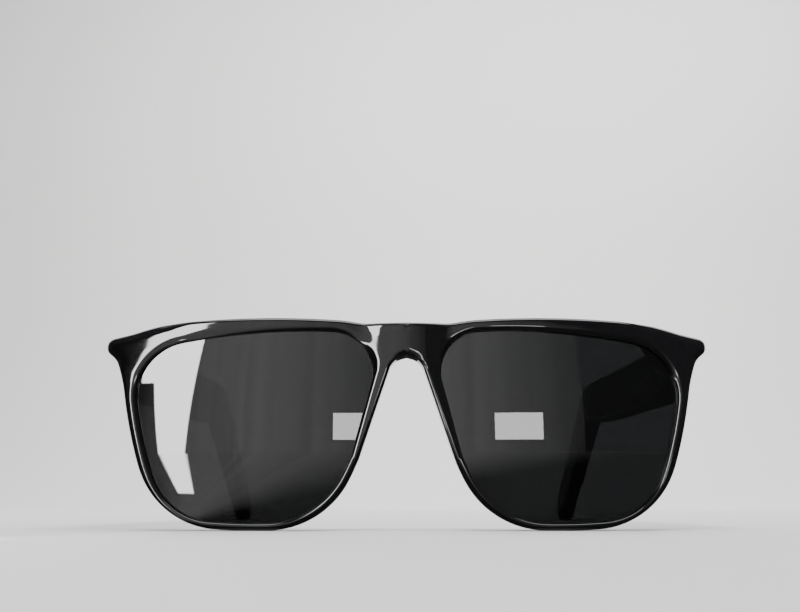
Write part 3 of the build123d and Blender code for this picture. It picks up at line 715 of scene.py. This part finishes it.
def cutHinge(body, side):
    halfRoom = hinge["height"] / 2 + hinge["knuckleRoom"]
    centre = (side * hinge["axisX"], hinge["axisY"], hinge["z"] + hinge["pinHead"] / 2)
    cutAway(body, rodCutter(hinge["knuckleClear"], centre, 2 * halfRoom + hinge["pinHead"]))
    reach = hinge["knuckleClear"] + hinge["leafWidth"] + hinge["play"]
    xs = sorted([side * hinge["axisX"], side * (hinge["axisX"] - reach)])
    half = hinge["height"] / 2 + hinge["play"]
    low = (xs[0], front["buttY"] - hinge["leafDepth"], hinge["z"] - half)
    cutAway(body, boxCutter(low, (xs[1], front["buttY"] + 1, hinge["z"] + half)))


frontBody = makeFront()
cutHinge(frontBody, 1)
cutHinge(frontBody, -1)
cleanUp(frontBody, 0.001)
finishShading(frontBody, 40)
wear(frontBody, "frame_gloss")
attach(frontBody, "front")
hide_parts("front_frame")
print("front made:", len(frontBody.data.vertices), "points")


# Lenses, from a sphere whose rings become the two faces and the edge between them
lens = {"spokes": 192, "rings": 44, "edgeAngle": 8.0}


def makeLens():
    outline = evenly(eyeOutline(face["lensBite"]), lens["spokes"])
    outline = np.vstack([outline, outline[:1]])
    turns = np.linspace(0, 2 * math.pi, len(outline))
    centre = np.array([face["lensX"], face["axisZ"]])
    sizes = {"segments": lens["spokes"], "ring_count": lens["rings"], "radius": mm}
    body = newPiece("lensLeft", bpy.ops.mesh.primitive_uv_sphere_add, **sizes)
    ball = getPoints(body)
    around = -np.arctan2(ball[:, 1], ball[:, 0]) % (2 * math.pi)
    tilt = np.degrees(np.arctan2(np.hypot(ball[:, 0], ball[:, 1]), ball[:, 2]))
    flat = 90 - lens["edgeAngle"]
    share = np.clip(np.minimum(tilt, 180 - tilt) / flat, 0, 1)
    edge = np.column_stack([np.interp(around, turns, outline[:, axis]) for axis in (0, 1)])
    spot = centre + (edge - centre) * share[:, None]
    before = faceY(spot, face["lensRecess"])
    behind = faceY(spot, face["lensRecess"] + face["lensThickness"])
    through = np.clip((tilt - flat) / (180 - 2 * flat), 0, 1)
    y = before + (behind - before) * through
    setPoints(body, np.column_stack([spot[:, 0], y, spot[:, 1]]))
    cleanUp(body, 0.0005)
    return body


lensLeft = makeLens()
finishShading(lensLeft, 40)
lensRight = otherSide(lensLeft, "lensRight")
for piece, side in ((lensLeft, "left"), (lensRight, "right")):
    wear(piece, "smoke_lens")
    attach(piece, "front")
    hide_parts("lens_" + side)
print("lenses made")


# Temples: one rounded plate from hinge to ear, then parted into shell and ear tip
temple = {
    "innerX": 66.8,
    "thickness": 7.6,
    "tipThickness": 4.8,
    "topZ": 46.2656,
    "rootY": -67.0,
    "rootLowZ": 39.8656,
    "bellyY": -48.1,
    "bellyZ": 32.4656,
    "bellyTail": 15.0,
    "bendShare": 0.647,
    "fullDepth": 154.0,
    "endpieceSetback": 12.5,
    "axisBehindButt": 0.9,
    "tipEndY": 76.844,
    "tipRadius": 4.6,
    "neck": 10.4,
    "bendRound": 26.0,
    "bellyRounds": (8.0, 16.0, 20.0),
    "outerRound": 1.5,
    "innerRound": 0.5,
    "toeIn": 2.5,
    "buttY": -64.7,
    "earJoint": 7.0,
    "rootLift": 2.5,          # the outer lower corner rises to meet the slim endpiece
    "liftFade": (-64.5, -46.0),
    "bendLead": 9.0,
    "straightRows": 110,
    "bentRows": 60,
    "lineStep": 0.2,
    "seam": 0.03,
}
hingeToEnd = temple["fullDepth"] - temple["endpieceSetback"] - temple["axisBehindButt"]
bendStart = temple["bendShare"] * hingeToEnd
temple["bendY"] = hinge["axisY"] + bendStart
earStart = np.array([temple["bendY"], temple["topZ"] - temple["neck"] / 2])
tipCentre = np.array([temple["tipEndY"] - temple["tipRadius"], temple["tipRadius"]])
earWay = (tipCentre - earStart) / np.hypot(*(tipCentre - earStart))
earUp = np.array([-earWay[1], earWay[0]])


def filletLine(points, rounds):
    # An open polyline with rounded corners, sampled closely.
    points = [np.array(p, float) for p in points]
    line = [points[0]]
    for before, corner, after, radius in zip(points, points[1:], points[2:], rounds):
        wayIn = (corner - before) / np.hypot(*(corner - before))
        wayOut = (after - corner) / np.hypot(*(after - corner))
        turn = math.acos(float(np.clip(wayIn @ wayOut, -1, 1)))
        reach = radius * math.tan(turn / 2)
        side = 1 if wayIn[0] * wayOut[1] - wayIn[1] * wayOut[0] > 0 else -1
        centre = corner - wayIn * reach + side * radius * np.array([-wayIn[1], wayIn[0]])
        start = corner - wayIn * reach - centre
        for angle in np.linspace(0, side * turn, 13):
            spun = (
                start[0] * math.cos(angle) - start[1] * math.sin(angle),
                start[0] * math.sin(angle) + start[1] * math.cos(angle),
            )
            line.append(centre + np.array(spun))
    line.append(points[-1])
    line = np.array(line)
    length = np.hypot(*np.diff(line, axis=0).T).sum()
    return evenly(line, int(length / temple["lineStep"]), closed=False)


def quarterEnd(side, count=14):
    # The round end of the tip, from beside it to its very end.
    angles = np.linspace(0, math.pi / 2, count + 1)[1:]
    across = side * earUp
    return np.array([
        tipCentre + temple["tipRadius"] * (across * math.cos(a) + earWay * math.sin(a)) for a in angles
    ])


def templeLines():
    # Paired points along the top and the underside.
    rootY, bendY, radius = temple["rootY"], temple["bendY"], temple["tipRadius"]
    upperCorners = [(rootY, temple["topZ"]), (bendY, temple["topZ"]), tuple(tipCentre + earUp * radius)]
    upper = filletLine(upperCorners, [temple["bendRound"]])
    lowerCorners = [
        (rootY, temple["rootLowZ"]), (hinge["axisY"], temple["rootLowZ"]),
        (temple["bellyY"], temple["bellyZ"]),
        (bendY - temple["bellyTail"], temple["bellyZ"]),
        (bendY - temple["neck"] / 2, temple["topZ"] - temple["neck"]), tuple(tipCentre - earUp * radius),
    ]
    lower = filletLine(lowerCorners, [*temple["bellyRounds"], temple["bendRound"] / 2])
    split = bendY - temple["bendLead"]
    straightY = np.linspace(rootY, split, temple["straightRows"])
    stations = np.linspace(0, 1, temple["bentRows"])[1:]
    upperLater = upper[upper[:, 0] > split]
    lowerLater = lower[lower[:, 0] > split]
    top = [np.column_stack([straightY, np.interp(straightY, upper[:, 0], upper[:, 1])])]
    low = [np.column_stack([straightY, np.interp(straightY, lower[:, 0], lower[:, 1])])]
    for later, rows in ((upperLater, top), (lowerLater, low)):
        run = np.concatenate([[0], np.cumsum(np.hypot(*np.diff(later, axis=0).T))])
        wanted = stations * run[-1]
        rows.append(np.column_stack([np.interp(wanted, run, later[:, axis]) for axis in (0, 1)]))
    top.append(quarterEnd(1))
    low.append(quarterEnd(-1))
    return np.vstack(top), np.vstack(low)


def lineNormals(line, side):
    step = np.gradient(line, axis=0)
    normal = side * np.column_stack([-step[:, 1], step[:, 0]])
    return normal / np.hypot(*normal.T)[:, None]


def makeTemple():
    top, low = templeLines()
    topOut, lowOut = lineNormals(top, 1), lineNormals(low, -1)
    topOut[-1] = lowOut[-1] = earWay
    station = (top[:, 0] + low[:, 0]) / 2 - hinge["axisY"]
    run = temple["tipEndY"] - hinge["axisY"]
    thick = temple["thickness"] - (temple["thickness"] - temple["tipThickness"]) * station / run
    inner, outer = temple["innerRound"], temple["outerRound"]
    columns = []

    def edgeColumn(line, normal, inset, x):
        columns.append(np.column_stack([x, line - normal * inset]))

    def facePoints(x, inset, order):
        start, end = low - lowOut * inset, top - topOut * inset
        for share in order:
            columns.append(np.column_stack([x, start + (end - start) * share]))

    ones = np.ones(len(top))
    inside = temple["innerX"] * ones
    outside = temple["innerX"] + thick
    shares = np.linspace(0, 1, 9)[1:-1]
    quarter = np.linspace(0, math.pi / 2, 4)
    wide = np.linspace(0, math.pi / 2, 8)
    facePoints(inside, inner, shares)
    for a in quarter:
        edgeColumn(top, topOut, inner * (1 - math.sin(a)), inside + inner * (1 - math.cos(a)))
    for a in wide:
        edgeColumn(top, topOut, outer * (1 - math.cos(a)), outside - outer * (1 - math.sin(a)))
    facePoints(outside, outer, shares[::-1])
    for a in wide[::-1]:
        edgeColumn(low, lowOut, outer * (1 - math.cos(a)), outside - outer * (1 - math.sin(a)))
    for a in quarter[::-1]:
        edgeColumn(low, lowOut, inner * (1 - math.sin(a)), inside + inner * (1 - math.cos(a)))
    grid = np.stack(columns + columns[:1], axis=1)
    x, y, z = grid[..., 0], grid[..., 1], grid[..., 2]
    lift = temple["rootLift"] * (1 - smoothStep(y, *temple["liftFade"]))
    lowness = np.clip((temple["topZ"] - z) / (temple["topZ"] - temple["rootLowZ"]), 0, 1)
    outwards = np.clip((x - temple["innerX"]) / temple["thickness"], 0, 1)
    grid[..., 2] = z + lift * lowness * outwards
    rows, around = grid.shape[:2]
    sizes = {"x_subdivisions": around - 1, "y_subdivisions": rows - 1, "size": mm}
    body = newPiece("templeBody", bpy.ops.mesh.primitive_grid_add, **sizes)
    if len(body.data.vertices) != rows * around:
        raise ValueError(f"grid has {len(body.data.vertices)} points, not {rows * around}")
    setPoints(body, grid.reshape(-1, 3))
    openEdit(body, keepAll=True)
    bpy.ops.mesh.remove_doubles(threshold=0.004 * mm)
    bpy.ops.mesh.select_all(action="DESELECT")
    bpy.ops.mesh.select_mode(type="EDGE")
    bpy.ops.mesh.select_non_manifold()
    bpy.ops.mesh.edge_face_add()
    bpy.ops.mesh.select_all(action="SELECT")
    bpy.ops.mesh.normals_make_consistent(inside=False)
    closeEdit()
    return body


def partAt(obj, point, normal, keepFront):
    # Cut on a plane, close the cut and keep one side.
    openEdit(obj, keepAll=True)
    bpy.ops.mesh.bisect(
        plane_co=tuple(c * mm for c in point), plane_no=normal, use_fill=True,
        clear_inner=keepFront, clear_outer=not keepFront,
    )
    bpy.ops.mesh.select_all(action="SELECT")
    bpy.ops.mesh.normals_make_consistent(inside=False)
    closeEdit()


def swing(obj):
    # The toe-in, about the hinge.
    centre = Matrix.Translation((hinge["axisX"] * mm, hinge["axisY"] * mm, 0))
    turn = Matrix.Rotation(math.radians(temple["toeIn"]), 4, "Z")
    obj.data.transform(centre @ turn @ centre.inverted())


def sideCutter(outline, inner, outer):
    # A prism over a side-view outline.
    count = len(outline)
    sizes = {"vertices": count, "radius": mm, "depth": mm}
    cutter = newPiece("sideCutter", bpy.ops.mesh.primitive_cylinder_add, **sizes)
    points = getPoints(cutter)
    around = np.round((np.arctan2(points[:, 0], points[:, 1]) % (2 * math.pi)) / (2 * math.pi) * count)
    index = around.astype(int) % count
    x = np.where(points[:, 2] > 0, temple["innerX"] + outer, temple["innerX"] + inner)
    setPoints(cutter, np.column_stack([x, outline[index]]))
    faceOutwards(cutter)
    return cutter


def innerOutline(inset, frontY, rearY):
    # The straight part's outline drawn in by a margin, with its end corners rounded.
    top, low = templeLines()
    low = low - lineNormals(low, -1) * inset
    ys = np.linspace(frontY, rearY, 90)
    corner = bayPlan["corner"]
    close = np.minimum(ys - frontY, rearY - ys)
    bite = corner - np.sqrt(np.maximum(corner ** 2 - np.maximum(corner - close, 0) ** 2, 0))
    highZ = temple["topZ"] - inset - bite
    lowZ = np.interp(ys, low[:, 0], low[:, 1]) + bite
    return np.vstack([np.column_stack([ys, highZ]), np.column_stack([ys, lowZ])[::-1]])


bayPlan = {"coverEdge": 1.0, "coverFront": 10.2, "coverBack": bendStart - 3.8, "coverDepth": 1.02,
           "bayEdge": 2.0, "bayFront": 14.0, "bayBack": bendStart - 7.2, "wall": 1.2, "corner": 0.8,
           "bayStart": 0.5, "taperShare": 0.99, "spare": 1.3}
buttonPlan = {"y": hinge["axisY"] + 37.0, "x": temple["innerX"] + 0.45 * temple["thickness"],
              "length": 9.0, "width": 2.6, "play": 0.12, "above": 1, "below": 3}
portPlan = {"x": temple["innerX"] + 2.1, "y": hinge["axisY"] + 24.0, "radius": 0.4, "depth": 6}


def templeCutters():
    base = hinge["axisY"]
    cover = innerOutline(bayPlan["coverEdge"], base + bayPlan["coverFront"], base + bayPlan["coverBack"])
    yield sideCutter(cover, -1, bayPlan["coverDepth"])
    bay = innerOutline(bayPlan["bayEdge"], base + bayPlan["bayFront"], base + bayPlan["bayBack"])
    bayDepth = temple["thickness"] * bayPlan["taperShare"] - bayPlan["wall"] - bayPlan["spare"]
    yield sideCutter(bay, bayPlan["bayStart"], bayDepth)
    half = hinge["height"] / 2 + hinge["play"]
    leafEnd = base + hinge["knuckleClear"] + hinge["templeLeafReach"]
    yield boxCutter(
        (temple["innerX"] - 1, temple["rootY"] - 1, hinge["z"] - half),
        (temple["innerX"] + hinge["leafDepth"], leafEnd, hinge["z"] + half),
    )
    high, low = temple["topZ"] + buttonPlan["above"], temple["topZ"] - buttonPlan["below"]
    reach = (buttonPlan["length"] - buttonPlan["width"]) / 2
    centre = (buttonPlan["x"], buttonPlan["y"], (high + low) / 2)
    slot = rodCutter(buttonPlan["width"] / 2 + buttonPlan["play"], centre, high - low)
    points = getPoints(slot)
    points[:, 1] += np.where(points[:, 1] > buttonPlan["y"], reach, -reach)
    setPoints(slot, points)
    yield slot
    port = (portPlan["x"], portPlan["y"], temple["bellyZ"])
    yield rodCutter(portPlan["radius"], port, portPlan["depth"], 24)


templeBody = makeTemple()
onlySelect(templeBody)
bpy.ops.object.duplicate()
earTip = bpy.context.object
joint = earStart + earWay * temple["earJoint"]
planeNormal = (0, float(earWay[0]), float(earWay[1]))
nudge = earWay * temple["seam"]
partAt(earTip, (0, joint[0] + nudge[0], joint[1] + nudge[1]), planeNormal, True)
partAt(templeBody, (0, joint[0] - nudge[0], joint[1] - nudge[1]), planeNormal, False)
for cutter in templeCutters():
    cutAway(templeBody, cutter)
for piece in (templeBody, earTip):
    swing(piece)
partAt(templeBody, (0, temple["buttY"], 0), (0, 1, 0), True)
templePieces = (
    (templeBody, "templeShell", "temple_shell", "temple_gloss"),
    (earTip, "earTip", "ear_tip", "tip_gloss"),
)
for piece, name, label, slotName in templePieces:
    cleanUp(piece, 0.001)
    finishShading(piece, 32)
    piece.name = name + "Left"
    twin = otherSide(piece, name + "Right")
    for obj, side in ((piece, "left"), (twin, "right")):
        wear(obj, slotName)
        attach(obj, "temple_" + side)
        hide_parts(f"{label}_{side}")
print("temples made:", len(templeBody.data.vertices), "points")

# Everything else stays as designed and takes its finish
remade = {"front_frame", "lens", "temple_shell", "ear_tip"}
for part in frame["record"]["subparts"]:
    name = part["node"]
    if name not in remade and name.rsplit("_", 1)[0] not in remade:
        wear(frame["nodes"][name], part["material_slot"])
print("carried-over pieces finished")

# Floor and backdrop in one sweep
studio = {"paper": (0.88, 0.88, 0.87), "front": -1.6, "back": 0.75, "bend": 0.5, "half": 2.6, "rise": 1.6}


def makePaper():
    paper = newPiece("paperSweep", bpy.ops.mesh.primitive_plane_add, size=1)
    points = [(-studio["half"], studio["front"], 0), (studio["half"], studio["front"], 0),
              (-studio["half"], studio["back"], 0), (studio["half"], studio["back"], 0)]
    setPoints(paper, np.array(points) / mm)
    openEdit(paper)
    closeEdit()
    for edge in paper.data.edges:
        edge.select = all(abs(paper.data.vertices[v].co.y - studio["back"]) < 1e-4 for v in edge.vertices)
    bpy.ops.object.mode_set(mode="EDIT")
    bpy.ops.mesh.select_mode(type="EDGE")
    bpy.ops.mesh.spin(
        steps=24, angle=-math.pi / 2, center=(0, studio["back"], studio["bend"]), axis=(1, 0, 0)
    )
    bpy.ops.mesh.extrude_region_move(TRANSFORM_OT_translate={"value": (0, 0, studio["rise"])})
    closeEdit()
    onlySelect(paper)
    bpy.ops.object.shade_smooth()
    sheet = Finish("palePaper", IOR=1.4)
    grain = sheet.noise(400, 3)
    tone = studio["paper"]
    sheet.feed("Base Color", sheet.tint(grain, tuple(0.985 * part for part in tone), tone))
    sheet.feed("Roughness", 0.7 + 0.1 * grain)
    paper.data.materials.append(sheet.material)


makePaper()

# Lights: a small window by the viewer, a soft top light, and one that brightens the backdrop
lights = {
    "smallWindow": {
        "place": (0.155, -1.3, 0.122), "size": (0.225, 0.125), "aim": (0, -0.07, 0.03), "power": 1.25,
    },
    "top": {"place": (0.1, -0.25, 1.3), "size": (1.2, 0.8), "aim": (0, 0, 0), "power": 24},
    "behind": {"place": (0.2, 0.5, 1.0), "size": (1.6, 0.5), "aim": (0, 1.2, 0.3), "power": 15},
}
for name, plan in lights.items():
    lamp = bpy.data.lights.new(name, "AREA")
    lamp.shape = "RECTANGLE"
    lamp.size, lamp.size_y = plan["size"]
    lamp.energy = plan["power"]
    holder = bpy.data.objects.new(name, lamp)
    bpy.context.scene.collection.objects.link(holder)
    holder.location = plan["place"]
    aim = Matrix.Translation(plan["aim"]).to_translation() - holder.location
    holder.rotation_euler = aim.to_track_quat("-Z", "Y").to_euler()
    holder.visible_camera = False

# Painted reflections, seen only in reflections and lighting nothing: a glowing tall window to the viewer's
# left, and a dim glowing sheet that stands for a dark tabletop.
# Both take their brightness from the bearing about the wearer's right lens, so the window's painted band runs
# on across the sheet.
# Settings for the painted window reflection
window = {"distance": 1.15, "bearing": -26, "width": 2.6, "high": 0.8, "power": 34.0,
          "left": (-33.3, -8.0), "right": (-27.5, 3.5), "sideFrom": -38.5, "sideLow": 0.3,
          "top": 0.74, "soft": 0.2, "wall": 0.9}
# Settings for the sheet of painted reflection over the floor: its extent, its faint glow, and the painted
# window band across it
card = {"near": 0.6, "far": -1.5, "half": 2.4, "lift": 0.0005, "windowNear": 0.047, "power": 32.0,
        "paintedTableLevel": 0.035, "leftSpread": 0.235, "rightSpread": 0.317, "soft": 0.5, "wall": 0.8}
wallPlan = {"from": -34, "rise": 12, "to": 12, "fall": 26, "folds": 0.3}
glowCentre = (-0.055, -0.075)


def bearingGlow(name):
    glow = Finish(name)
    axes = glow.node("ShaderNodeSeparateXYZ", {}, {0: glow.place})
    across = axes - glowCentre[0]
    ahead = glowCentre[1] - Wire(glow, axes.socket.node.outputs[1])
    up = Wire(glow, axes.socket.node.outputs[2])
    bearing = across.math("ARCTAN2", across, ahead) * 57.2958
    glow.shader.inputs["Base Color"].default_value = (0, 0, 0, 1)
    glow.shader.inputs["Specular IOR Level"].default_value = 0
    glow.shader.inputs["Emission Strength"].default_value = 1
    return glow, bearing, ahead, up


def above(wire, soft):
    # One where the value is over zero, none below, with a soft step between.
    settings = {"interpolation_type": "SMOOTHSTEP"}
    return wire.finish.node("ShaderNodeMapRange", settings, {0: wire, 1: -soft, 2: soft})


def wallGlow(glow, bearing):
    # Painted light: the lit wall beside the window, as a glow in soft folds.
    folds = {"W": bearing * wallPlan["folds"], "Scale": 1.0}
    rise = above(bearing - wallPlan["from"], wallPlan["rise"])
    fall = above(wallPlan["to"] - bearing, wallPlan["fall"])
    return rise * fall * (1 + glow.node("ShaderNodeTexNoise", {"noise_dimensions": "1D"}, folds))


def paintedWindowMaterial():
    glow, bearing, ahead, up = bearingGlow("paintedWindowGlow")
    # Painted reflection: the bright pane, a further bright strip at its far side, and the lit wall's glow.
    left = above(bearing - (window["left"][0] + window["left"][1] * up), window["soft"])
    right = above((window["right"][0] + window["right"][1] * up) - bearing, window["soft"])
    side = above(bearing - window["sideFrom"], window["soft"]) * (1 - left)
    side = side * above(up - window["sideLow"], 0.004)
    pane = (left * right + side) * window["power"] * above(window["top"] - up, 0.01)
    glow.feed("Emission Color", pane + window["wall"] * wallGlow(glow, bearing))
    return glow.material


def paintedTableMaterial():
    glow, bearing, ahead, up = bearingGlow("paintedTableReflection")
    # Painted reflection: the window's light painted as a band across the sheet, the lit wall's glow, and a
    # faint even glow for the dark tabletop.
    left = above(bearing - (window["left"][0] + card["leftSpread"] / ahead), card["soft"])
    right = above((window["right"][0] + card["rightSpread"] / ahead) - bearing, card["soft"])
    tall = left * right * above(ahead - card["windowNear"], 0.003)
    glow.feed("Emission Color", tall * card["power"] + card["wall"] * wallGlow(glow, bearing) + card["paintedTableLevel"])
    return glow.material


def reflectionOnly(name, corners, material):
    pane = newPiece(name, bpy.ops.mesh.primitive_plane_add, size=1)
    setPoints(pane, np.array(corners) / mm)
    pane.data.materials.append(material)
    pane.visible_camera = False
    pane.visible_diffuse = False
    pane.visible_shadow = False
    pane.visible_transmission = False


bearing = math.radians(window["bearing"])
centreX = glowCentre[0] + math.sin(bearing) * window["distance"]
centreY = glowCentre[1] - math.cos(bearing) * window["distance"]
sideX = math.cos(bearing) * window["width"] / 2
sideY = math.sin(bearing) * window["width"] / 2
reflectionOnly("paintedWindowPane", [
    (centreX - sideX, centreY - sideY, 0), (centreX + sideX, centreY + sideY, 0),
    (centreX - sideX, centreY - sideY, window["high"]), (centreX + sideX, centreY + sideY, window["high"]),
], paintedWindowMaterial())
reflectionOnly("paintedTableSheet", [
    (-card["half"], card["far"], card["lift"]), (card["half"], card["far"], card["lift"]),
    (-card["half"], card["near"], card["lift"]), (card["half"], card["near"], card["lift"]),
], paintedTableMaterial())

world = bpy.data.worlds.new("softRoom")
world.use_nodes = True
room = world.node_tree.nodes["Background"]
room.inputs["Color"].default_value = (0.93, 0.96, 1.0, 1)
room.inputs["Strength"].default_value = 0.12
bpy.context.scene.world = world

view = {"place": (-0.0016, -0.2898, 0.0063), "tilt": 102.35, "lens": 40.5}
eyePoint = bpy.data.cameras.new("viewCamera")
eyePoint.lens = view["lens"]
eyePoint.sensor_width = 36
eyePoint.clip_start = 0.005
camera = bpy.data.objects.new("viewCamera", eyePoint)
bpy.context.scene.collection.objects.link(camera)
camera.location = view["place"]
camera.rotation_euler = (math.radians(view["tilt"]), 0, 0)
bpy.context.scene.camera = camera
print("studio ready")
